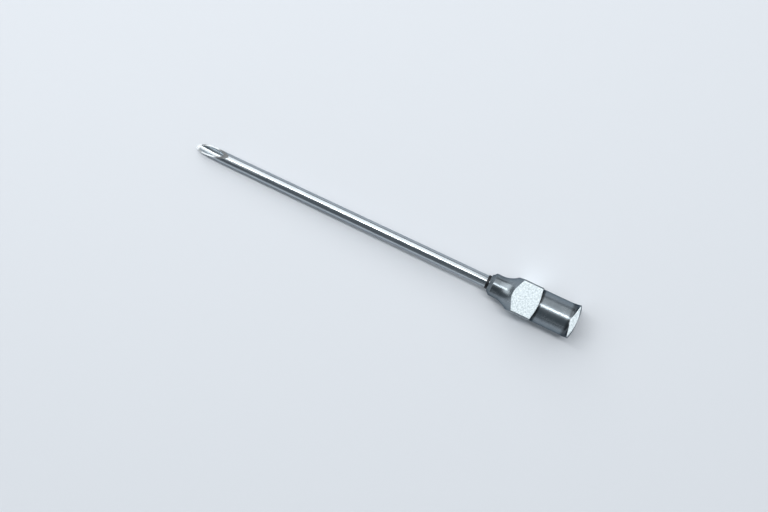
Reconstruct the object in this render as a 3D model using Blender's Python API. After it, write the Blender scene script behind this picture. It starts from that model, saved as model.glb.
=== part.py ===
"""Reusable epidural needle: a bevelled steel cannula soldered into a Luer-lock hub turned from square bar.

The needle lies along X as it comes to rest on a table, with its tip towards -X and its socket towards +X.
Each piece is modelled about the needle's own axis, with the hub's nose starting at X = 0. An empty then tilts
the whole needle, so that the cannula's bend and the front of the block's lower flat touch the table, Z = 0.
Lengths are in metres.
"""

import math

import bmesh
import bpy
from mathutils import Matrix, Vector

MM = 0.001

# Cannula: a drawn tube, 14 gauge
CANNULA_DIAMETER = 2.11 * MM
CANNULA_BORE = 1.60 * MM
EXPOSED_LENGTH = 57.0 * MM

# Curved tip. The rise is that of the point above the straight tube's underside.
TIP_BEND_LENGTH = 7.6 * MM
TIP_RISE = 0.75 * MM
BEVEL_LENGTH = 6.8 * MM
# The way that the bevel faces, from the hub's upper flat towards +Y
BEVEL_ROLL = math.radians(22.0)

# Nose and neck of the hub
NOSE_DIAMETER = 3.92 * MM
NOSE_FACE_DIAMETER = 2.72 * MM
NOSE_CHAMFER_LENGTH = 0.60 * MM
NOSE_LENGTH = 1.56 * MM
NECK_RADIUS = 3.84 * MM

# Square block, barrel and flange. The square is the bar; everything else is turned.
ACROSS_FLATS = 5.76 * MM
LUG_DIAMETER = 7.83 * MM
BLOCK_BACK = 8.18 * MM
BLOCK_CHAMFER_ANGLE = math.radians(18.0)
BARREL_DIAMETER = 5.70 * MM
BARREL_CORNER_RADIUS = 0.12 * MM
FLANGE_LENGTH = 1.32 * MM
FLARE_RADIUS = 0.55 * MM
FLARE_ANGLE = math.radians(70.0)
LUG_LAND = 0.06 * MM
END_CHAMFER_ANGLE = math.radians(22.0)
HUB_LENGTH = 15.18 * MM

# Luer socket, with its six per cent taper on the diameter, and the drilled cone at its foot
SOCKET_MOUTH_DIAMETER = 4.30 * MM
SOCKET_TAPER = 0.06
SOCKET_DEPTH = 8.50 * MM
MOUTH_CHAMFER = 0.12 * MM
DRILL_POINT_ANGLE = math.radians(118.0)

# Seat of the cannula in the nose, and the collar of solder in front of it
CANNULA_SEAT_DEPTH = 4.60 * MM
FIT_CLEARANCE = 0.04 * MM
COLLAR_DIAMETER = 2.44 * MM
COLLAR_LENGTH = 0.48 * MM
COLLAR_EDGE_RADIUS = 0.10 * MM

# How finely the round shapes are divided
HUB_SEGMENTS = 64
TUBE_SEGMENTS = 40
BEND_STEPS = 14
NECK_STEPS = 12
SMALL_ARC_STEPS = 5
# How far a cutter, or a tube that is cut afterwards, runs past the cut
MARGIN = 1.0 * MM
SMOOTH_ANGLE = math.radians(30.0)

CANNULA_RADIUS = CANNULA_DIAMETER / 2
BORE_RADIUS = CANNULA_BORE / 2
SEAT_RADIUS = CANNULA_RADIUS + FIT_CLEARANCE
NOSE_RADIUS = NOSE_DIAMETER / 2
HALF_FLATS = ACROSS_FLATS / 2
LUG_RADIUS = LUG_DIAMETER / 2
BARREL_RADIUS = BARREL_DIAMETER / 2
BEND_START = TIP_BEND_LENGTH - EXPOSED_LENGTH
# The outside of the bend starts level and reaches the point, so its radius follows from length and rise.
OUTER_BEND_RADIUS = (TIP_BEND_LENGTH**2 + TIP_RISE**2) / (2 * TIP_RISE)
BEND_RADIUS = OUTER_BEND_RADIUS - CANNULA_RADIUS


def clear_scene():
    for item in list(bpy.data.objects):
        bpy.data.objects.remove(item, do_unlink=True)


def make_material(name, colour, roughness, metallic):
    material = bpy.data.materials.new(name)
    material.use_nodes = True
    shader = material.node_tree.nodes["Principled BSDF"]
    shader.inputs["Base Color"].default_value = (*colour, 1.0)
    shader.inputs["Roughness"].default_value = roughness
    shader.inputs["Metallic"].default_value = metallic
    return material


def add_piece(name, shape, material):
    """Puts a bmesh in the scene as an object, with its normals out and its round faces smooth."""
    bmesh.ops.recalc_face_normals(shape, faces=shape.faces)
    mesh = bpy.data.meshes.new(name)
    shape.to_mesh(mesh)
    shape.free()
    mesh.materials.append(material)
    mesh.shade_smooth()
    mesh.set_sharp_from_angle(angle=SMOOTH_ANGLE)
    piece = bpy.data.objects.new(name, mesh)
    bpy.context.scene.collection.objects.link(piece)
    return piece


def cut(piece, cutter, operation):
    """Adds a Boolean that keeps to the piece when the piece is moved."""
    cutter.hide_render = True
    cutter.display_type = "WIRE"
    cutter.parent = piece
    modifier = piece.modifiers.new(cutter.name, "BOOLEAN")
    modifier.operation = operation
    modifier.object = cutter


def arc(centre, radius, start, end, steps):
    """Points (x, r) along an arc, from one angle to the other."""
    angles = [start + (end - start) * i / steps for i in range(steps + 1)]
    return [(centre[0] + radius * math.cos(a), centre[1] + radius * math.sin(a)) for a in angles]


def turned(profile, segments):
    """Spins a closed profile of (x, r) points round X."""
    shape = bmesh.new()
    # Half a step puts the middle of a facet, and not an edge, on top.
    half_step = Matrix.Rotation(math.pi / segments, 3, "X")
    points = [shape.verts.new(half_step @ Vector((x, 0, r))) for x, r in profile]
    for point, after in zip(points, points[1:] + points[:1]):
        shape.edges.new((point, after))
    bmesh.ops.spin(
        shape,
        geom=shape.verts[:] + shape.edges[:],
        cent=(0, 0, 0),
        axis=(1, 0, 0),
        angle=2 * math.pi,
        steps=segments,
        use_merge=True,
    )
    return shape


def neck_profile():
    """The neck's hollow flare, from the nose up to the lugs' radius."""
    turn = math.acos(1 - (LUG_RADIUS - NOSE_RADIUS) / NECK_RADIUS)
    centre = (NOSE_LENGTH, NOSE_RADIUS + NECK_RADIUS)
    return arc(centre, NECK_RADIUS, -math.pi / 2, turn - math.pi / 2, NECK_STEPS)


def block_back_profile():
    """The chamfer behind the block, and the small radius in its corner with the barrel."""
    turn = math.pi / 2 - BLOCK_CHAMFER_ANGLE
    foot = BLOCK_BACK + (LUG_RADIUS - BARREL_RADIUS) * math.tan(BLOCK_CHAMFER_ANGLE)
    centre = (foot + BARREL_CORNER_RADIUS * math.tan(turn / 2), BARREL_RADIUS + BARREL_CORNER_RADIUS)
    corner = arc(centre, BARREL_CORNER_RADIUS, -math.pi / 2 - turn, -math.pi / 2, SMALL_ARC_STEPS)
    return [(BLOCK_BACK, LUG_RADIUS)] + corner


def flange_profile():
    """The flare from the barrel out to the lugs, and the chamfer down to the end face."""
    centre = (HUB_LENGTH - FLANGE_LENGTH, BARREL_RADIUS + FLARE_RADIUS)
    flare = arc(centre, FLARE_RADIUS, -math.pi / 2, FLARE_ANGLE - math.pi / 2, SMALL_ARC_STEPS)
    flare_x, flare_r = flare[-1]
    lug_front = flare_x + (LUG_RADIUS - flare_r) / math.tan(FLARE_ANGLE)
    lug_back = lug_front + LUG_LAND
    end_radius = LUG_RADIUS - (HUB_LENGTH - lug_back) / math.tan(END_CHAMFER_ANGLE)
    return flare + [(lug_front, LUG_RADIUS), (lug_back, LUG_RADIUS), (HUB_LENGTH, end_radius)]


def inside_profile():
    """The hub's inside from its mouth forwards: socket, cone, throat and the cannula's seat."""
    mouth = SOCKET_MOUTH_DIAMETER / 2
    floor = HUB_LENGTH - SOCKET_DEPTH
    floor_radius = mouth - SOCKET_DEPTH * SOCKET_TAPER / 2
    throat = floor - (floor_radius - BORE_RADIUS) / math.tan(DRILL_POINT_ANGLE / 2)
    return [
        (HUB_LENGTH, mouth + MOUTH_CHAMFER),
        (HUB_LENGTH - MOUTH_CHAMFER, mouth - MOUTH_CHAMFER * SOCKET_TAPER / 2),
        (floor, floor_radius),
        (throat, BORE_RADIUS),
        (CANNULA_SEAT_DEPTH, BORE_RADIUS),
        (CANNULA_SEAT_DEPTH, SEAT_RADIUS),
        (0, SEAT_RADIUS),
    ]


def square_bar():
    """The square bar that the hub is turned from, a little longer than the hub."""
    shape = bmesh.new()
    bmesh.ops.create_cube(shape, size=1.0)
    size = Matrix.Diagonal((HUB_LENGTH + 2 * MARGIN, ACROSS_FLATS, ACROSS_FLATS, 1))
    middle = Matrix.Translation((HUB_LENGTH / 2, 0, 0))
    bmesh.ops.transform(shape, matrix=middle @ size, verts=shape.verts)
    return shape


def make_hub():
    nickel = make_material("nickel_plate", (0.66, 0.68, 0.70), 0.18, 1.0)
    nose = [(0, NOSE_FACE_DIAMETER / 2), (NOSE_CHAMFER_LENGTH, NOSE_RADIUS)]
    outside = nose + neck_profile() + block_back_profile() + flange_profile()
    hub = add_piece("hub", turned(outside + inside_profile(), HUB_SEGMENTS), nickel)
    cut(hub, add_piece("square_bar", square_bar(), nickel), "INTERSECT")
    return hub


def stations():
    """Places along the cannula's middle line: its seat, then the bend from its start to past the point."""
    level = Matrix.Rotation(-math.pi / 2, 4, "Y")
    seat = Matrix.Translation((CANNULA_SEAT_DEPTH - FIT_CLEARANCE, 0, 0)) @ level
    bend_centre = Matrix.Translation((BEND_START, 0, BEND_RADIUS))
    hang = Matrix.Translation((0, 0, -BEND_RADIUS)) @ level
    sweep = math.asin(TIP_BEND_LENGTH / OUTER_BEND_RADIUS) + MARGIN / BEND_RADIUS
    turns = [sweep * i / BEND_STEPS for i in range(BEND_STEPS + 1)]
    return [seat] + [bend_centre @ Matrix.Rotation(turn, 4, "Y") @ hang for turn in turns]


def join_rings(shape, ring, after):
    """Closes the band between two circles of as many points."""
    for i in range(TUBE_SEGMENTS):
        j = (i + 1) % TUBE_SEGMENTS
        shape.faces.new((ring[i], ring[j], after[j], after[i]))


def curved_tube():
    shape = bmesh.new()
    walls = []
    for radius in (CANNULA_RADIUS, BORE_RADIUS):
        size = {"segments": TUBE_SEGMENTS, "radius": radius}
        wall = [bmesh.ops.create_circle(shape, matrix=place, **size)["verts"] for place in stations()]
        for ring, after in zip(wall, wall[1:]):
            join_rings(shape, ring, after)
        walls.append(wall)
    outer, inner = walls
    join_rings(shape, outer[0], inner[0])
    join_rings(shape, outer[-1], inner[-1])
    return shape


def bevel_block():
    """A block that stands on the bevel's plane, which runs from the point on the outer wall to the heel."""
    point = Vector((-EXPOSED_LENGTH, 0, TIP_RISE - CANNULA_RADIUS))
    inner_radius = BEND_RADIUS - CANNULA_RADIUS
    heel_run = max(TIP_BEND_LENGTH - BEVEL_LENGTH, 0)
    heel_rise = BEND_RADIUS - math.sqrt(inner_radius**2 - heel_run**2)
    heel = Vector((BEVEL_LENGTH - EXPOSED_LENGTH, 0, heel_rise))
    shape = bmesh.new()
    bmesh.ops.create_cube(shape, size=1.0)
    length = (heel - point).length + 4 * MARGIN
    height = CANNULA_DIAMETER + 2 * MARGIN
    size = Matrix.Diagonal((length, CANNULA_DIAMETER + 2 * MARGIN, height, 1))
    stand = Matrix.Translation((0, 0, height / 2))
    slope = Matrix.Rotation(-math.atan2(heel.z - point.z, heel.x - point.x), 4, "Y")
    middle = Matrix.Translation((point + heel) / 2)
    bmesh.ops.transform(shape, matrix=middle @ slope @ stand @ size, verts=shape.verts)
    return shape


def make_cannula():
    steel = make_material("polished_steel", (0.74, 0.76, 0.78), 0.14, 1.0)
    cannula = add_piece("cannula", curved_tube(), steel)
    cut(cannula, add_piece("bevel_block", bevel_block(), steel), "DIFFERENCE")
    cannula.rotation_euler.x = -BEVEL_ROLL
    return cannula


def make_collar():
    """The ring of solder round the cannula, standing against the nose's face."""
    solder = make_material("dark_solder", (0.14, 0.14, 0.14), 0.45, 1.0)
    back = -FIT_CLEARANCE
    front = back - COLLAR_LENGTH
    outer = COLLAR_DIAMETER / 2
    edge_centre = (front + COLLAR_EDGE_RADIUS, outer - COLLAR_EDGE_RADIUS)
    edge = arc(edge_centre, COLLAR_EDGE_RADIUS, math.pi, math.pi / 2, SMALL_ARC_STEPS)
    profile = [(back, SEAT_RADIUS), (front, SEAT_RADIUS)] + edge + [(back, outer)]
    return add_piece("solder_collar", turned(profile, TUBE_SEGMENTS), solder)


def block_front():
    """Where the neck's flare comes out to the flats, which is the front of each flat at its middle."""
    drop = NOSE_RADIUS + NECK_RADIUS - HALF_FLATS
    return NOSE_LENGTH + math.sqrt(NECK_RADIUS**2 - drop**2)


def rest_tilt():
    """(tilt, height of the needle's axis at X = 0) when the needle lies on its bend and its block.

    The bend touches where it runs level, so the place of that touch and the tilt are worked out in turn.
    """
    tilt = 0.0
    for _ in range(8):
        turn = math.atan(math.tan(tilt) / math.cos(BEVEL_ROLL))
        touch_x = BEND_START - BEND_RADIUS * math.sin(turn)
        touch_rise = BEND_RADIUS * (1 - math.cos(turn)) * math.cos(BEVEL_ROLL)
        drop = (HALF_FLATS + touch_rise) * math.cos(tilt) - CANNULA_RADIUS
        tilt = math.asin(drop / (block_front() - touch_x))
    height = HALF_FLATS * math.cos(tilt) - block_front() * math.sin(tilt)
    return tilt, height


def lay_down(pieces):
    tilt, height = rest_tilt()
    needle = bpy.data.objects.new("needle", None)
    bpy.context.scene.collection.objects.link(needle)
    needle.rotation_euler.y = -tilt
    middle = (HUB_LENGTH - EXPOSED_LENGTH) / 2
    needle.location = (-middle * math.cos(tilt), 0, height)
    for piece in pieces:
        piece.parent = needle


clear_scene()
lay_down([make_hub(), make_cannula(), make_collar()])
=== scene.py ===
# %% [markdown]
# # A reusable epidural needle
#
# The real needle is a polished steel tube with a curved, bevelled tip, soldered into a small hub.
# The hub is turned from square bar: a nose, a hollow neck, a square block to grip, a barrel, and a
# flange whose four corners lock into a syringe's collar. This script dresses the imported CAD model
# of it. The first cell loads that model. The finished needle has to stay inside its box.

# %% Load the imported model
import math

import bmesh
import bpy
from mathutils import Matrix, Vector, noise


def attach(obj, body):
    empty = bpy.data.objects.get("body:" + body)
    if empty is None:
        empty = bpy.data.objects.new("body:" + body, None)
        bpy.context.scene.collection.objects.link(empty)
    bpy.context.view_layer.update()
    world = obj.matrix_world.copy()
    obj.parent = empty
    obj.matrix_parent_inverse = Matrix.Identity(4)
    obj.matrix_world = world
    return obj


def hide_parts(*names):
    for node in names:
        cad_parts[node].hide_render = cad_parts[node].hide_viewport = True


MM = 0.001


def in_mm(box):
    """The corners of a box in millimetres, rounded for printing."""
    return [[round(value / MM, 3) for value in corner] for corner in box]


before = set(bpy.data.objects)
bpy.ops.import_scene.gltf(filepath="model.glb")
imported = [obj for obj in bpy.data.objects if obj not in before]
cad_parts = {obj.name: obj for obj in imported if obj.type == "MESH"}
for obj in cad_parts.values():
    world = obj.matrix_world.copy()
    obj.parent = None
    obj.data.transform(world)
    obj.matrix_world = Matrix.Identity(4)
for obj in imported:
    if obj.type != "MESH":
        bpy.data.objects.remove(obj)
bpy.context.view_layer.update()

# %% [markdown]
# ## Where the needle lies
#
# The needle rests on the bend near its tip and on the front edge of its block, so its axis climbs
# by nearly two degrees from tip to socket. Each piece could be modelled where it lies, but then
# every arc in it would be tilted and hard to read. Instead all pieces are made in the needle's own
# frame, where X runs along the axis and starts at the nose, and one matrix lays them on the table.

# %% The needle's own frame
# The exposed length is a few thousandths of a millimetre under the CAD model's, because a finer
# mesh reaches a little further than a coarse one and has to stay inside the CAD box.
EXPOSED_LENGTH = 56.992 * MM
HUB_LENGTH = 15.18 * MM
LEAN = math.radians(1.92998)
NOSE_HEIGHT = 2.74220 * MM

nose_x = (EXPOSED_LENGTH - HUB_LENGTH) / 2 * math.cos(LEAN)
lay_down = Matrix.Translation((nose_x, 0, NOSE_HEIGHT)) @ Matrix.Rotation(-LEAN, 4, "Y")
print("nose of the hub at", in_mm([lay_down.translation]), "mm")

# %% [markdown]
# ## Camera
#
# The photograph looks down on the needle from close by, so its tip and its hub are seen from
# different sides. A camera could be placed by eye, but then the reflections wouldn't fall where
# they should. This one was fitted to nine corners of the needle and to the edges of its round
# parts, and moved until all of them fell within a pixel of where the photograph has them.

# %% Set up the camera
CAMERA_PLACE = Vector((15.888, -3.988, 121.391)) * MM
CAMERA_TURN = [math.radians(angle) for angle in (2.8663, 5.4902, 25.5840)]
LENS = 33.042
NEAREST = 1 * MM

camera = bpy.data.objects.new("camera", bpy.data.cameras.new("camera"))
bpy.context.scene.collection.objects.link(camera)
camera.location = CAMERA_PLACE
camera.rotation_euler = CAMERA_TURN
camera.data.lens = LENS
camera.data.clip_start = NEAREST
bpy.context.scene.camera = camera
print("camera is", round(CAMERA_PLACE.z / MM), "mm above the table")

# %% [markdown]
# ## Arcs
#
# Nearly everything on this needle is round about one axis. A turned piece starts as the outline
# that a lathe's tool follows, a list of points (x, r), where x is a place along the axis and r is
# the distance from it. Hollows and rounded corners are arcs. They could be smoothed with a
# modifier later, but points that lie on the arc from the start keep to its true radius.

# %% Points along an arc
def arc(centre, radius, start, end, steps):
    """Points (x, r) along an arc, from one angle to the other."""
    angles = [start + (end - start) * i / steps for i in range(steps + 1)]
    return [(centre[0] + radius * math.cos(a), centre[1] + radius * math.sin(a)) for a in angles]


quarter = arc((0, 0), 1, 0, math.pi / 2, 2)
print("a quarter circle in two steps:", [(round(x, 3), round(r, 3)) for x, r in quarter])

# %% [markdown]
# ## The hub's outline
#
# A lathe cuts the hub from its nose backwards: a chamfer, a short nose, the hollow of the neck,
# which climbs until it runs out of the square bar, a clean back to the block, the barrel, and a
# flare up to the flange. The outline could be a curve drawn by hand, but sizes can be compared
# with the CAD model's. The arcs take many steps, because a reflection shows every flat spot.

# %% Outside of the hub
NOSE_FACE_DIAMETER = 2.72 * MM
NOSE_DIAMETER = 3.92 * MM
NOSE_CHAMFER_LENGTH = 0.60 * MM
NOSE_LENGTH = 1.56 * MM
NECK_RADIUS = 3.84 * MM
LUG_DIAMETER = 7.83 * MM
BLOCK_BACK = 8.18 * MM
BLOCK_CHAMFER = math.radians(18)
BARREL_DIAMETER = 5.70 * MM
BARREL_CORNER_RADIUS = 0.12 * MM
FLANGE_LENGTH = 1.32 * MM
FLARE_RADIUS = 0.55 * MM
FLARE_ANGLE = math.radians(70)
LUG_LAND = 0.06 * MM
END_CHAMFER = math.radians(22)

NECK_STEPS = 48
FLARE_STEPS = 24
CORNER_STEPS = 10
DOWN = -math.pi / 2

lug_radius = LUG_DIAMETER / 2
barrel_radius = BARREL_DIAMETER / 2


def nose_and_neck():
    """The chamfer, the nose and the hollow of the neck, out to the corners of the bar."""
    nose_radius = NOSE_DIAMETER / 2
    turn = math.acos(1 - (lug_radius - nose_radius) / NECK_RADIUS)
    centre = (NOSE_LENGTH, nose_radius + NECK_RADIUS)
    neck = arc(centre, NECK_RADIUS, DOWN, turn + DOWN, NECK_STEPS)
    return [(0, NOSE_FACE_DIAMETER / 2), (NOSE_CHAMFER_LENGTH, nose_radius)] + neck


def block_back():
    """The block's back and the small rounded corner where it meets the barrel."""
    turn = math.pi / 2 - BLOCK_CHAMFER
    foot = BLOCK_BACK + (lug_radius - barrel_radius) * math.tan(BLOCK_CHAMFER)
    middle = foot + BARREL_CORNER_RADIUS * math.tan(turn / 2)
    centre = (middle, barrel_radius + BARREL_CORNER_RADIUS)
    corner = arc(centre, BARREL_CORNER_RADIUS, DOWN - turn, DOWN, CORNER_STEPS)
    return [(BLOCK_BACK, lug_radius)] + corner


def flange():
    """The flare, the narrow land over the lugs and the chamfer down to the end face."""
    centre = (HUB_LENGTH - FLANGE_LENGTH, barrel_radius + FLARE_RADIUS)
    flare = arc(centre, FLARE_RADIUS, DOWN, FLARE_ANGLE + DOWN, FLARE_STEPS)
    lug_front = flare[-1][0] + (lug_radius - flare[-1][1]) / math.tan(FLARE_ANGLE)
    lug_back = lug_front + LUG_LAND
    end_radius = lug_radius - (HUB_LENGTH - lug_back) / math.tan(END_CHAMFER)
    return flare + [(lug_front, lug_radius), (lug_back, lug_radius), (HUB_LENGTH, end_radius)]


hub_outside = nose_and_neck() + block_back() + flange()
print("outline of the hub has", len(hub_outside), "points")

# %% [markdown]
# ## The hub's inside
#
# A syringe's cone seals in the socket, which narrows by six per cent. A drill leaves the cone at
# its foot, and a fine hole leads on to the seat that holds the tube. None of it shows in the
# photograph, so a flat end would do from there, but it would give the needle away to anyone who
# looks into the hub from behind. So the outline goes on through the inside.

# %% Inside of the hub
SOCKET_MOUTH_DIAMETER = 4.30 * MM
SOCKET_TAPER = 0.06
SOCKET_DEPTH = 8.50 * MM
MOUTH_CHAMFER = 0.12 * MM
DRILL_POINT = math.radians(118)
BORE_DIAMETER = 1.60 * MM
CANNULA_DIAMETER = 2.11 * MM
SEAT_DEPTH = 4.60 * MM
CLEARANCE = 0.04 * MM


def hub_inside():
    """The outline's way back: socket, drilled cone, fine hole and the seat of the tube."""
    mouth = SOCKET_MOUTH_DIAMETER / 2
    foot = mouth - SOCKET_DEPTH * SOCKET_TAPER / 2
    bore = BORE_DIAMETER / 2
    seat = CANNULA_DIAMETER / 2 + CLEARANCE
    floor_x = HUB_LENGTH - SOCKET_DEPTH
    return [
        (HUB_LENGTH, mouth + MOUTH_CHAMFER),
        (HUB_LENGTH - MOUTH_CHAMFER, mouth - MOUTH_CHAMFER * SOCKET_TAPER / 2),
        (floor_x, foot),
        (floor_x - (foot - bore) / math.tan(DRILL_POINT / 2), bore),
        (SEAT_DEPTH, bore),
        (SEAT_DEPTH, seat),
        (0, seat),
    ]


print("socket is", round(SOCKET_DEPTH / MM, 1), "mm deep")

# %% [markdown]
# ## From an outline to a solid
#
# The lathe spins the bar, and here the outline is spun round X. A Screw modifier could do it, but
# the solid is cut straight afterwards, and a bmesh that merges its last ring with its first gives
# the closed mesh that a Boolean needs. Half a step's turn at the start makes the facets lie the
# same on both sides of each flat and of each corner.

# %% Spin, add and cut
def turned(profile, segments):
    """Spins a closed outline round X."""
    shape = bmesh.new()
    half_step = Matrix.Rotation(math.pi / segments, 3, "X")
    points = [shape.verts.new(half_step @ Vector((x, 0, r))) for x, r in profile]
    for point, after in zip(points, points[1:] + points[:1]):
        shape.edges.new((point, after))
    bmesh.ops.spin(
        shape,
        geom=shape.verts[:] + shape.edges[:],
        cent=(0, 0, 0),
        axis=(1, 0, 0),
        angle=2 * math.pi,
        steps=segments,
        use_merge=True,
    )
    return shape


def add_object(name, shape):
    """Puts a bmesh in the scene, with its normals out."""
    bmesh.ops.recalc_face_normals(shape, faces=shape.faces)
    mesh = bpy.data.meshes.new(name)
    shape.to_mesh(mesh)
    shape.free()
    piece = bpy.data.objects.new(name, mesh)
    bpy.context.scene.collection.objects.link(piece)
    return piece


def cut_and_keep(piece, cutter, operation):
    """Runs a Boolean, keeps its result in the piece and throws the cutter away."""
    modifier = piece.modifiers.new("cut", "BOOLEAN")
    modifier.operation = operation
    modifier.object = cutter
    bpy.context.view_layer.update()
    evaluated = piece.evaluated_get(bpy.context.evaluated_depsgraph_get())
    result = bpy.data.meshes.new_from_object(evaluated)
    piece.modifiers.clear()
    piece.data = result
    bpy.data.objects.remove(cutter)
    print(piece.name, "has", len(result.polygons), "faces after its cut")


# %% [markdown]
# ## Cutting the hub out of square bar
#
# The flats of the block and of the flange are what is left of the bar's own faces, so each of
# their curved edges is where a round surface meets a flat one. Drawing those curves by hand would
# never be right. Instead the spun shape is intersected with a square bar, and the curves come out
# by themselves.

# %% Make the hub
# Like the exposed length, the width across the flats is a little under the CAD model's.
ACROSS_FLATS = 5.759 * MM
BAR_LENGTH = 1.2 * HUB_LENGTH
HUB_SEGMENTS = 256


def square_bar():
    """A bar that is as wide as the flats and longer than the hub."""
    shape = bmesh.new()
    bmesh.ops.create_cube(shape, size=1.0)
    size = Matrix.Diagonal((BAR_LENGTH, ACROSS_FLATS, ACROSS_FLATS, 1))
    middle = Matrix.Translation((HUB_LENGTH / 2, 0, 0))
    bmesh.ops.transform(shape, matrix=middle @ size, verts=shape.verts)
    return add_object("square_bar", shape)


needle_hub = add_object("needle_hub", turned(hub_outside + hub_inside(), HUB_SEGMENTS))
cut_and_keep(needle_hub, square_bar(), "INTERSECT")

# %% [markdown]
# ## Three finishes on one hub
#
# The lathe and the polishing mop touch the round parts only. The flats keep the fine matt skin of
# the bar, and nobody polishes the inside. The hub could be made as three meshes, but it is one
# piece of metal. So it stays one mesh with three materials, and each face is sorted by where it
# lies.

# %% Sort the hub's faces by finish
POLISHED, MATT, INSIDE = range(3)
SAME_WAY = 0.999
ON_PLANE = 0.001 * MM


def hub_finish(face):
    """Which of the three finishes a face of the hub has."""
    away = max(abs(face.center.y), abs(face.center.z))
    side = max(abs(face.normal.y), abs(face.normal.z))
    if side > SAME_WAY and abs(away - ACROSS_FLATS / 2) < ON_PLANE:
        return MATT
    radius = math.hypot(face.center.y, face.center.z)
    looks_in = face.normal.y * face.center.y + face.normal.z * face.center.z < 0
    if looks_in and radius < SOCKET_MOUTH_DIAMETER / 2:
        return INSIDE
    return POLISHED


hub_finishes = [hub_finish(face) for face in needle_hub.data.polygons]
print("matt faces:", hub_finishes.count(MATT), "and inside faces:", hub_finishes.count(INSIDE))

# %% [markdown]
# ## Laying a piece on the table
#
# Scratches and tool marks follow the needle's axis and not the table's. The finishes could turn
# the table's frame back into the needle's, but it is simpler to let each mesh remember where its
# points were before it was laid down. Smooth shading hides the facets, and edges that are sharp
# on the real needle stay sharp.

# %% Finish the hub's mesh
SHARP_ANGLE = math.radians(28)


def finish_piece(piece, node):
    """Shades the piece, lays it down, hangs it on the root body and hides its CAD node."""
    mesh = piece.data
    mesh.shade_smooth()
    mesh.set_sharp_from_angle(angle=SHARP_ANGLE)
    place = mesh.attributes.new("needle_place", "FLOAT_VECTOR", "POINT")
    place.data.foreach_set("vector", [value for vertex in mesh.vertices for value in vertex.co])
    mesh.transform(lay_down)
    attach(piece, "root")
    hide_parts(node)
    print(piece.name, "has", len(mesh.polygons), "faces")


finish_piece(needle_hub, "hub")

# %% [markdown]
# ## The tube
#
# The cannula is drawn steel tube. Near its tip it is bent upwards on a large radius and then
# ground off on one slope, so that its opening becomes a long oval with a sharp point. A curve
# object with a round bevel could draw the outside, but not the bore within it. Here the tube is
# made of rings of points along its middle line, one set for each wall, and it runs on a little
# past the point. The opening is cut afterwards by a block that stands on the slope.

# %% Sweep the tube along its bend
TIP_BEND_LENGTH = 7.6 * MM
TIP_RISE = 0.75 * MM
TUBE_SEGMENTS = 128
BEND_STEPS = 60
SPARE = 1.0 * MM

tube_radius = CANNULA_DIAMETER / 2
bore_radius = BORE_DIAMETER / 2
bend_start = TIP_BEND_LENGTH - EXPOSED_LENGTH
outer_bend_radius = (TIP_BEND_LENGTH**2 + TIP_RISE**2) / (2 * TIP_RISE)
bend_radius = outer_bend_radius - tube_radius


def stations():
    """Where each ring of points stands: one in the seat, the others along the bend."""
    level = Matrix.Rotation(-math.pi / 2, 4, "Y")
    seat = Matrix.Translation((SEAT_DEPTH - CLEARANCE, 0, 0)) @ level
    bend_centre = Matrix.Translation((bend_start, 0, bend_radius))
    hang = Matrix.Translation((0, 0, -bend_radius)) @ level
    sweep = math.asin(TIP_BEND_LENGTH / outer_bend_radius) + SPARE / bend_radius
    turns = [sweep * i / BEND_STEPS for i in range(BEND_STEPS + 1)]
    return [seat] + [bend_centre @ Matrix.Rotation(turn, 4, "Y") @ hang for turn in turns]


def join_rings(shape, ring, after):
    """Fills the band between two rings with faces."""
    for i in range(TUBE_SEGMENTS):
        j = (i + 1) % TUBE_SEGMENTS
        shape.faces.new((ring[i], ring[j], after[j], after[i]))


def wall_rings(shape, radius):
    """One wall of the tube, as a list of rings that are joined up."""
    rings = []
    for place in stations():
        circle = bmesh.ops.create_circle(
            shape, segments=TUBE_SEGMENTS, radius=radius, matrix=place
        )
        rings.append(circle["verts"])
    for ring, after in zip(rings, rings[1:]):
        join_rings(shape, ring, after)
    return rings


def swept_tube():
    """Both walls of the tube, closed at the two ends."""
    shape = bmesh.new()
    outer = wall_rings(shape, tube_radius)
    inner = wall_rings(shape, bore_radius)
    join_rings(shape, outer[0], inner[0])
    join_rings(shape, outer[-1], inner[-1])
    return shape


tube = add_object("steel_tube", swept_tube())
print("tube bends on a radius of", round(bend_radius / MM, 1), "mm")

# %% [markdown]
# ## Grinding the bevel
#
# The grinder's plane runs from the point, on the tube's outer wall, to the heel at the back of the
# opening. Its edge could be modelled as an oval, but as on the real tip a single flat cut gives
# the oval, the point and the rim at once. Grinding leaves its own finish on the rim, and the bore
# keeps a duller one, so the faces are sorted again. Last the tube is turned a little about its
# axis, as the photograph shows one rim nearer than the other.

# %% Grind the bevel and sort the tube's faces
BEVEL_LENGTH = 6.8 * MM
BEVEL_ROLL = math.radians(22)
OUTER_WALL, BORE_WALL, GROUND_RIM = range(3)
UP = Vector((0, 0, 1))

bevel_point = Vector((-EXPOSED_LENGTH, 0, TIP_RISE - tube_radius))
heel_run = max(TIP_BEND_LENGTH - BEVEL_LENGTH, 0)
heel_rise = bend_radius - math.sqrt((bend_radius - tube_radius) ** 2 - heel_run**2)
bevel_heel = Vector((BEVEL_LENGTH - EXPOSED_LENGTH, 0, heel_rise))
bevel_slope = Matrix.Rotation(-math.atan2(heel_rise - bevel_point.z, BEVEL_LENGTH), 4, "Y")
bevel_normal = bevel_slope @ UP


def bevel_block():
    """A block whose lower face is the grinder's plane."""
    shape = bmesh.new()
    bmesh.ops.create_cube(shape, size=1.0)
    height = CANNULA_DIAMETER + 2 * SPARE
    length = (bevel_heel - bevel_point).length + 4 * SPARE
    size = Matrix.Diagonal((length, height, height, 1))
    stand = Matrix.Translation((0, 0, height / 2))
    middle = Matrix.Translation((bevel_point + bevel_heel) / 2)
    bmesh.ops.transform(shape, matrix=middle @ bevel_slope @ stand @ size, verts=shape.verts)
    return add_object("bevel_block", shape)


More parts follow.
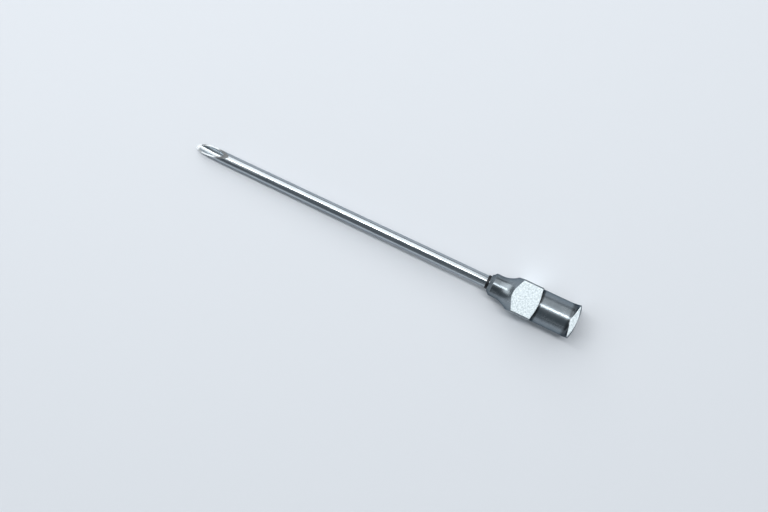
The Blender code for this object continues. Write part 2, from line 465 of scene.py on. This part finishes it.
def tube_finish(face):
    """Which of the three finishes a face of the tube has."""
    off_plane = abs((face.center - bevel_point).dot(bevel_normal))
    if face.normal.dot(bevel_normal) > SAME_WAY and off_plane < ON_PLANE:
        return GROUND_RIM
    across = face.center.z
    if face.center.x < bend_start:
        run = face.center.x - bend_start
        across = bend_radius - math.hypot(run, bend_radius - face.center.z)
    radius = math.hypot(face.center.y, across)
    return BORE_WALL if radius < (tube_radius + bore_radius) / 2 else OUTER_WALL


cut_and_keep(tube, bevel_block(), "DIFFERENCE")
tube_finishes = [tube_finish(face) for face in tube.data.polygons]
tube.data.transform(Matrix.Rotation(-BEVEL_ROLL, 4, "X"))
finish_piece(tube, "cannula")
print("bevel slopes at", round(math.degrees(bevel_normal.angle(UP)), 1), "degrees")
print("rim faces:", tube_finishes.count(GROUND_RIM))
print("bore faces:", tube_finishes.count(BORE_WALL))

# %% [markdown]
# ## The ring of solder
#
# Solder flows round the tube where it enters the nose and stands as a small dark ring. A ring spun
# from a perfect outline would look machined, and a bump in the material would leave its edge
# perfect. So noise moves the points themselves, inwards only, and the ring gets the soft waves
# that solder freezes with.

# %% Make the solder ring
COLLAR_DIAMETER = 2.44 * MM
COLLAR_LENGTH = 0.48 * MM
COLLAR_EDGE_RADIUS = 0.10 * MM
COLLAR_SEGMENTS = 128
LAND_STEPS = 8
WAVE_SIZE = 0.45 * MM
WAVE_DEPTH = 0.04 * MM

collar_middle = -CLEARANCE - COLLAR_LENGTH / 2


def collar_outline():
    """The ring's outline, with a rounded front edge and a land in short steps."""
    back = -CLEARANCE
    front = back - COLLAR_LENGTH
    outer = COLLAR_DIAMETER / 2
    seat = tube_radius + CLEARANCE
    edge_centre = (front + COLLAR_EDGE_RADIUS, outer - COLLAR_EDGE_RADIUS)
    edge = arc(edge_centre, COLLAR_EDGE_RADIUS, math.pi, math.pi / 2, CORNER_STEPS)
    start = edge[-1][0]
    land = [(start + (back - start) * i / LAND_STEPS, outer) for i in range(1, LAND_STEPS + 1)]
    return [(back, seat), (front, seat)] + edge + land


def freeze_waves(mesh):
    """Moves the ring's outside towards its own middle by up to the depth of a wave."""
    inner = tube_radius + 2 * CLEARANCE
    for vertex in mesh.vertices:
        radius = math.hypot(vertex.co.y, vertex.co.z)
        if radius > inner:
            dip = WAVE_DEPTH * (0.5 + 0.5 * noise.noise(vertex.co / WAVE_SIZE))
            pull = min(dip, radius - inner) / radius
            vertex.co.y *= 1 - pull
            vertex.co.z *= 1 - pull
            if vertex.co.x < collar_middle:
                vertex.co.x += dip


solder_ring = add_object("solder_ring", turned(collar_outline(), COLLAR_SEGMENTS))
freeze_waves(solder_ring.data)
finish_piece(solder_ring, "solder_collar")

# %% [markdown]
# ## Materials
#
# Polished metal has almost no colour of its own. What makes it believable is how it blurs what it
# reflects: the marks that the lathe and the polishing leave, a few scratches, and a little uneven
# tarnish. Each finish below starts from the metal's own tint and lets noise move its colour, its
# roughness and its surface. A photograph of scratches could do that too, but noise needs no
# unwrapping and stays sharp from close by.

# %% Nodes and metals
def add_node(owner, kind, links=None, settings=None, **values):
    """Adds a node to a material or a world.

    links are sockets by name, settings are properties and values are plain numbers by name.
    """
    node = owner.node_tree.nodes.new(kind)
    for key, value in (settings or {}).items():
        setattr(node, key, value)
    for key, value in values.items():
        node.inputs[key.replace("_", " ")].default_value = value
    for key, source in (links or {}).items():
        owner.node_tree.links.new(source, node.inputs[key])
    return node


def new_metal(name):
    """A bare metal and its shader."""
    material = bpy.data.materials.new(name)
    material.use_nodes = True
    shader = material.node_tree.nodes["Principled BSDF"]
    shader.inputs["Metallic"].default_value = 1.0
    print("metal:", name)
    return material, shader


def drive(shader, socket, source):
    """Lets a node drive one of the shader's sockets."""
    shader.id_data.links.new(source, shader.inputs[socket])


# %% [markdown]
# ## Marks out of noise
#
# Every mark is noise in some form: spots for tarnish, long streaks for scratches, rings for the
# lathe. The noise is read at the point's place in the needle's own frame, so that it turns with
# the needle. Most of its values lie near its middle, so only that part is stretched over a tint
# or a roughness. Reading the raw values would leave the marks faint.

# %% Helpers for marks
NOISE_LOW = 0.3
NOISE_HIGH = 0.7
BEVEL_SAMPLES = 4


def needle_place(material, scale=(1, 1, 1)):
    """The point's place in the needle's own frame. A scale under one draws marks out that way."""
    place = add_node(material, "ShaderNodeAttribute", settings={"attribute_name": "needle_place"})
    links = {"Vector": place.outputs["Vector"]}
    return add_node(material, "ShaderNodeMapping", links, Scale=scale).outputs[0]


def grain(material, place, size, detail):
    """Noise whose spots are about that size in metres."""
    links = {"Vector": place}
    spots = add_node(material, "ShaderNodeTexNoise", links, Scale=1 / size, Detail=detail)
    return spots.outputs["Fac"]


def spread(material, value, low, high):
    """Runs a noise value over the numbers from low to high."""
    limits = {"From_Min": NOISE_LOW, "From_Max": NOISE_HIGH, "To_Min": low, "To_Max": high}
    return add_node(material, "ShaderNodeMapRange", {"Value": value}, **limits).outputs[0]


def tint(material, value, dark, pale):
    """Runs a noise value over the colours between two tints."""
    ramp = add_node(material, "ShaderNodeValToRGB", {"Fac": value})
    ramp.color_ramp.elements[0].position = NOISE_LOW
    ramp.color_ramp.elements[1].position = NOISE_HIGH
    ramp.color_ramp.elements[0].color = (*dark, 1)
    ramp.color_ramp.elements[1].color = (*pale, 1)
    return ramp.outputs["Color"]


def relief(material, shader, value, depth, under=None):
    """Presses a noise value into the surface, to that depth in metres."""
    links = {"Height": value}
    if under:
        links["Normal"] = under
    bump = add_node(material, "ShaderNodeBump", links, Strength=1.0, Distance=depth)
    drive(shader, "Normal", bump.outputs["Normal"])


def soft_edges(material, radius):
    """Rounds the look of sharp edges, which on a polished part are never quite sharp."""
    settings = {"samples": BEVEL_SAMPLES}
    return add_node(material, "ShaderNodeBevel", settings=settings, Radius=radius).outputs["Normal"]


print("noise from", NOISE_LOW, "to", NOISE_HIGH, "is stretched over each tint")

# %% [markdown]
# ## Painted shade that follows the needle
#
# The nose, the corner behind the block and the flare under the flange get painted shade. It could
# be painted by hand, but on a turned part a place along the axis says enough. A ramp of greys runs
# along the axis, and the metal's tint is multiplied by it.

# %% Greys along the axis
def along(material, start, end, stops):
    """A grey for each place along the axis. stops are pairs of a place in metres and a grey."""
    split = add_node(material, "ShaderNodeSeparateXYZ", {"Vector": needle_place(material)})
    links = {"Value": split.outputs["X"]}
    run = add_node(material, "ShaderNodeMapRange", links, From_Min=start, From_Max=end)
    ramp = add_node(material, "ShaderNodeValToRGB", {"Fac": run.outputs[0]})
    elements = ramp.color_ramp.elements
    while len(elements) < len(stops):
        elements.new(0.5)
    for element, (place, grey) in zip(elements, stops):
        element.position = (place - start) / (end - start)
        element.color = (grey, grey, grey, 1)
    return ramp.outputs["Color"]


def darkened(material, metal, grey):
    """The metal's tint multiplied by a grey."""
    links = {"A": metal, "B": grey}
    settings = {"data_type": "RGBA", "blend_type": "MULTIPLY"}
    return add_node(material, "ShaderNodeMix", links, settings, Factor=1.0).outputs["Result"]


# Painted shade: greys that darken the hub's tint on the nose, behind the block and under the
# flange.
PAINTED_HUB_SHADE = [
    (0.00 * MM, 0.70),
    (2.20 * MM, 0.80),
    (3.00 * MM, 1.00),
    (8.30 * MM, 1.00),
    (8.56 * MM, 0.20),
    (8.80 * MM, 0.35),
    (9.00 * MM, 1.00),
    (13.50 * MM, 1.00),
    (13.95 * MM, 0.35),
    (14.35 * MM, 0.40),
    (14.70 * MM, 0.90),
]
# The count printed here is of the places where the hub's painted shade changes.
print("tarnish on the hub changes at", len(PAINTED_HUB_SHADE), "places")

# %% [markdown]
# ## Nickel on the round parts
#
# The lathe leaves fine rings round the axis, and the mop blurs them without taking them away.
# Rings that fine could be cut into the mesh only with far too many faces. Here they are noise that
# knows only how far along the axis and how far from it a point is, so it can't vary round the hub.
# The corners behind the block and under the flange are darkened with painted shade, and painted
# shade makes the nose a little darker than the barrel.

# %% Polished nickel
EDGE_SOFTNESS = 0.03 * MM


def lathe_rings(material, place):
    """A place that is the same all the way round the axis."""
    split = add_node(material, "ShaderNodeSeparateXYZ", {"Vector": place})
    links = {"Y": split.outputs["Y"], "Z": split.outputs["Z"]}
    across = add_node(material, "ShaderNodeCombineXYZ", links)
    links = {"Vector": across.outputs[0]}
    radius = add_node(material, "ShaderNodeVectorMath", links, {"operation": "LENGTH"})
    links = {"X": split.outputs["X"], "Y": radius.outputs["Value"]}
    return add_node(material, "ShaderNodeCombineXYZ", links).outputs[0]


def turned_nickel():
    material, shader = new_metal("turned_nickel")
    place = needle_place(material)
    marks = grain(material, lathe_rings(material, place), size=0.09 * MM, detail=2.0)
    cloud = grain(material, place, size=1.2 * MM, detail=4.0)
    metal = tint(material, cloud, dark=(0.235, 0.270, 0.295), pale=(0.285, 0.320, 0.345))
    # Painted shade on the nose and in the corners of the hub.
    corners = along(material, 0, HUB_LENGTH, PAINTED_HUB_SHADE)
    drive(shader, "Base Color", darkened(material, metal, corners))
    shader.inputs["Specular Tint"].default_value = (0.36, 0.40, 0.44, 1)
    drive(shader, "Roughness", spread(material, cloud, low=0.25, high=0.28))
    relief(material, shader, marks, 0.0004 * MM, under=soft_edges(material, EDGE_SOFTNESS))
    return material


nickel_on_rounds = turned_nickel()

# %% [markdown]
# ## Nickel on the flats
#
# The plate takes on the texture of what is under it. On the bar's own skin that is a fine, bright,
# sandy grain, the palest part of the needle in the photograph. A higher roughness alone would
# give an even grey, so the same grain also moves the tint and the surface.

# %% Matt nickel
def frosted_nickel():
    material, shader = new_metal("frosted_nickel")
    sand = grain(material, needle_place(material), size=0.26 * MM, detail=5.0)
    metal = tint(material, sand, dark=(0.57, 0.64, 0.67), pale=(0.86, 0.92, 0.945))
    drive(shader, "Base Color", metal)
    drive(shader, "Roughness", spread(material, sand, low=0.75, high=0.60))
    relief(material, shader, sand, 0.012 * MM, under=soft_edges(material, EDGE_SOFTNESS))
    return material


nickel_on_flats = frosted_nickel()

# %% [markdown]
# ## Nickel in the socket
#
# A reamer cuts the taper and leaves dull marks in it. The matt nickel could be used again, but it
# is too bright for a hole. The noise is drawn out round the bore, which is the way the reamer
# turns.

# %% Nickel inside the socket
def reamed_nickel():
    material, shader = new_metal("reamed_nickel")
    marks = grain(material, needle_place(material, (1.0, 0.15, 0.15)), size=0.12 * MM, detail=3.0)
    metal = tint(material, marks, dark=(0.30, 0.32, 0.34), pale=(0.40, 0.42, 0.44))
    drive(shader, "Base Color", metal)
    drive(shader, "Roughness", spread(material, marks, low=0.35, high=0.50))
    relief(material, shader, marks, 0.004 * MM)
    return material


nickel_inside = reamed_nickel()

# %% [markdown]
# ## Steel outside
#
# A drawn tube is polished lengthwise, so its scratches are long and thin and run with the axis. An
# anisotropic shader could hint at them, but noise that is drawn out along X shows each one. One
# small nick near the hub, rough and so paler than the dark side that it is on, is copied from the
# photograph.

# %% Steel of the tube
NICK_PLACE = Vector((-9.5, -0.72, 0.77)) * MM
NICK_SIZE = Vector((0.30, 0.12, 0.12)) * MM
NICK_ROUGHNESS = 0.65


def nick(material, place, size):
    """One inside an oval round the place and nought outside it, with a soft edge."""
    links = {"Vector": needle_place(material)}
    spot = add_node(material, "ShaderNodeVectorMath", links, {"operation": "SUBTRACT"})
    spot.inputs[1].default_value = place
    links = {"Vector": spot.outputs[0]}
    oval = add_node(material, "ShaderNodeVectorMath", links, {"operation": "MULTIPLY"})
    oval.inputs[1].default_value = Vector([1 / value for value in size])
    links = {"Vector": oval.outputs[0]}
    far = add_node(material, "ShaderNodeVectorMath", links, {"operation": "LENGTH"})
    links = {"Value": far.outputs["Value"]}
    limits = {"From_Min": 0.6, "From_Max": 1.1, "To_Min": 1.0, "To_Max": 0.0}
    return add_node(material, "ShaderNodeMapRange", links, **limits).outputs[0]


def polished_steel():
    material, shader = new_metal("polished_steel")
    streaks = grain(material, needle_place(material, (0.03, 1.0, 1.0)), size=0.10 * MM, detail=3.0)
    cloud = grain(material, needle_place(material), size=2.0 * MM, detail=4.0)
    metal = tint(material, cloud, dark=(0.40, 0.44, 0.47), pale=(0.46, 0.50, 0.53))
    drive(shader, "Base Color", metal)
    shader.inputs["Specular Tint"].default_value = (0.42, 0.46, 0.50, 1)
    links = {
        "Factor": nick(material, NICK_PLACE, NICK_SIZE),
        "A": spread(material, streaks, low=0.14, high=0.22),
    }
    rough = add_node(material, "ShaderNodeMix", links, B=NICK_ROUGHNESS)
    drive(shader, "Roughness", rough.outputs["Result"])
    relief(material, shader, streaks, 0.0008 * MM)
    return material


steel_outside = polished_steel()

# %% [markdown]
# ## Steel in the bore
#
# The bore is as the drawing bench left it, rougher than the outside and streaked along the axis.
# Black would do for a hole this small, but the opening at the tip shows its floor in full light.

# %% Steel of the bore
def bore_steel():
    material, shader = new_metal("bore_steel")
    streaks = grain(material, needle_place(material, (0.05, 1.0, 1.0)), size=0.08 * MM, detail=3.0)
    metal = tint(material, streaks, dark=(0.40, 0.44, 0.47), pale=(0.48, 0.52, 0.55))
    drive(shader, "Base Color", metal)
    drive(shader, "Roughness", spread(material, streaks, low=0.20, high=0.32))
    relief(material, shader, streaks, 0.002 * MM)
    return material


steel_inside = bore_steel()

# %% [markdown]
# ## Steel of the ground rim
#
# The grindstone leaves short scratches across the rim, so the noise is drawn out along Y. The rim
# shines along both sides of the opening, but a short way behind the point and at the heel its tint
# is darkened with painted shade. Separate pieces for point and heel would show a seam, so greys
# along the axis do it, as with the painted shade on the hub.

# %% Steel of the rim
# Painted shade: greys that darken the rim's tint a short way behind the point and at the heel.
PAINTED_RIM_SHADE = [
    (-56.4 * MM, 0.95),
    (-56.1 * MM, 0.45),
    (-55.6 * MM, 0.50),
    (-55.2 * MM, 1.00),
    (-53.0 * MM, 1.00),
    (-52.2 * MM, 0.20),
]


def ground_steel():
    material, shader = new_metal("ground_steel")
    lines = grain(material, needle_place(material, (1.0, 0.06, 1.0)), size=0.05 * MM, detail=2.0)
    metal = tint(material, lines, dark=(0.60, 0.64, 0.67), pale=(0.74, 0.77, 0.79))
    # Painted shade on the rim, a short way behind the point and at the heel.
    painted_rim_shade = along(material, -EXPOSED_LENGTH, bend_start, PAINTED_RIM_SHADE)
    drive(shader, "Base Color", darkened(material, metal, painted_rim_shade))
    drive(shader, "Roughness", spread(material, lines, low=0.24, high=0.34))
    relief(material, shader, lines, 0.003 * MM)
    return material


steel_on_rim = ground_steel()

# %% [markdown]
# ## Solder
#
# Old solder is dark grey and takes no polish. An even dark grey would read as rubber, so fine
# waves and pits break up what little it reflects.

# %% Dark solder
def dark_solder():
    material, shader = new_metal("dark_solder")
    waves = grain(material, needle_place(material), size=0.20 * MM, detail=4.0)
    metal = tint(material, waves, dark=(0.015, 0.016, 0.018), pale=(0.055, 0.058, 0.062))
    drive(shader, "Base Color", metal)
    drive(shader, "Roughness", spread(material, waves, low=0.35, high=0.60))
    relief(material, shader, waves, 0.012 * MM)
    return material


solder = dark_solder()

# %% [markdown]
# ## Giving each face its finish
#
# The faces were sorted when the meshes were cut. Now each list of finishes goes onto its mesh in
# one step. The order of the materials is the order of the numbers that the faces were given.

# %% Give each face its finish
def give_finishes(piece, materials, indices):
    piece.data.materials.clear()
    for material in materials:
        piece.data.materials.append(material)
    piece.data.polygons.foreach_set("material_index", indices)
    print(piece.name, "wears", [material.name for material in materials])


give_finishes(needle_hub, [nickel_on_rounds, nickel_on_flats, nickel_inside], hub_finishes)
give_finishes(tube, [steel_outside, steel_inside, steel_on_rim], tube_finishes)
give_finishes(solder_ring, [solder], [0] * len(solder_ring.data.polygons))

# %% [markdown]
# ## Table
#
# The needle lies on a pale, matt table. A square one would do from above, but from the side its
# corners would show, so it is a wide disc.

# %% Set the table
TABLE_SIZE = 0.8
TABLE_SEGMENTS = 96
TABLE_COLOUR = (0.72, 0.75, 0.79, 1)
TABLE_ROUGHNESS = 0.8

table_shape = bmesh.new()
bmesh.ops.create_circle(
    table_shape, cap_ends=True, segments=TABLE_SEGMENTS, radius=TABLE_SIZE / 2
)
table = add_object("table", table_shape)
table_paint = bpy.data.materials.new("table_paint")
table_paint.use_nodes = True
paint = table_paint.node_tree.nodes["Principled BSDF"]
paint.inputs["Base Color"].default_value = TABLE_COLOUR
paint.inputs["Roughness"].default_value = TABLE_ROUGHNESS
table.data.materials.append(table_paint)
print("table is", TABLE_SIZE, "m across")

# %% [markdown]
# ## Lamps
#
# Bare metal is lit by what it reflects. One big soft lamp would wash everything out, so each lamp
# here is placed for a mark that it leaves. A long narrow one draws the sharp line along the hub. A
# wide one leans towards the tip, so that the tube mirrors it and the barrel doesn't, and makes the
# tube's broad white stripe. A weaker one gives the hub its mid tone, and a low card gives it a
# faint second line. A card beyond the tip lights the hollow of the neck.

# %% Hang the lamps
def add_lamp(name, leans, distance, size, radiance):
    """A soft rectangle that points at the needle. size is in metres.

    Its leans are its angles in degrees from straight overhead, towards +X and towards +Y.
    """
    data = bpy.data.lights.new(name, "AREA")
    data.shape = "RECTANGLE"
    data.size, data.size_y = size
    data.energy = radiance * math.pi * size[0] * size[1]
    lamp = bpy.data.objects.new(name, data)
    bpy.context.scene.collection.objects.link(lamp)
    along_x, along_y = (math.tan(math.radians(lean)) for lean in leans)
    back = Vector((along_x, along_y, 1)).normalized()
    right = (Vector((1, 0, 0)) - back * back.x).normalized()
    turn = Matrix((right, back.cross(right), back)).transposed().to_4x4()
    lamp.matrix_world = Matrix.Translation(back * distance) @ turn
    print(name, "gives", round(data.energy, 3), "watts")


add_lamp("long_strip", leans=(-5, 10.5), distance=0.60, size=(0.85, 0.075), radiance=11.0)
add_lamp("tube_window", leans=(-33.5, 42), distance=0.60, size=(0.585, 0.55), radiance=1.75)
add_lamp("hub_window", leans=(21, 46), distance=0.62, size=(0.355, 0.60), radiance=0.6)
add_lamp("low_card", leans=(9.5, -62), distance=0.60, size=(0.055, 0.10), radiance=1.0)
add_lamp("tip_card", leans=(-45, -10), distance=0.60, size=(0.40, 0.30), radiance=1.3)

# %% [markdown]
# ## The room
#
# What no lamp lights, the room does, and polished metal mirrors it. High up the room is dark, so
# that the near side of the needle stays dark too. A room that was dark all the way down would
# show as a black backdrop from the side, so near the table it is almost as pale as the table
# itself.

# %% Paint the room
# The room turns from pale to dark between these heights, which are sines of the angle upwards.
PALE_UP_TO = 0.06
DARK_FROM = 0.24
ROOM_PALE = (0.62, 0.65, 0.69, 1)
ROOM_DARK = (0.15, 0.172, 0.19, 1)

room = bpy.data.worlds.new("room")
bpy.context.scene.world = room
room.use_nodes = True
direction = add_node(room, "ShaderNodeTexCoord").outputs["Generated"]
height = add_node(room, "ShaderNodeSeparateXYZ", {"Vector": direction}).outputs["Z"]
limits = {"From_Min": PALE_UP_TO, "From_Max": DARK_FROM}
shade = add_node(room, "ShaderNodeMapRange", {"Value": height}, **limits).outputs[0]
wall = add_node(room, "ShaderNodeValToRGB", {"Fac": shade})
wall.color_ramp.elements[0].color = ROOM_PALE
wall.color_ramp.elements[1].color = ROOM_DARK
background = room.node_tree.nodes["Background"]
room.node_tree.links.new(wall.outputs["Color"], background.inputs["Color"])
bpy.context.scene.view_settings.view_transform = "Standard"
print("room is made of", len(room.node_tree.nodes), "nodes")
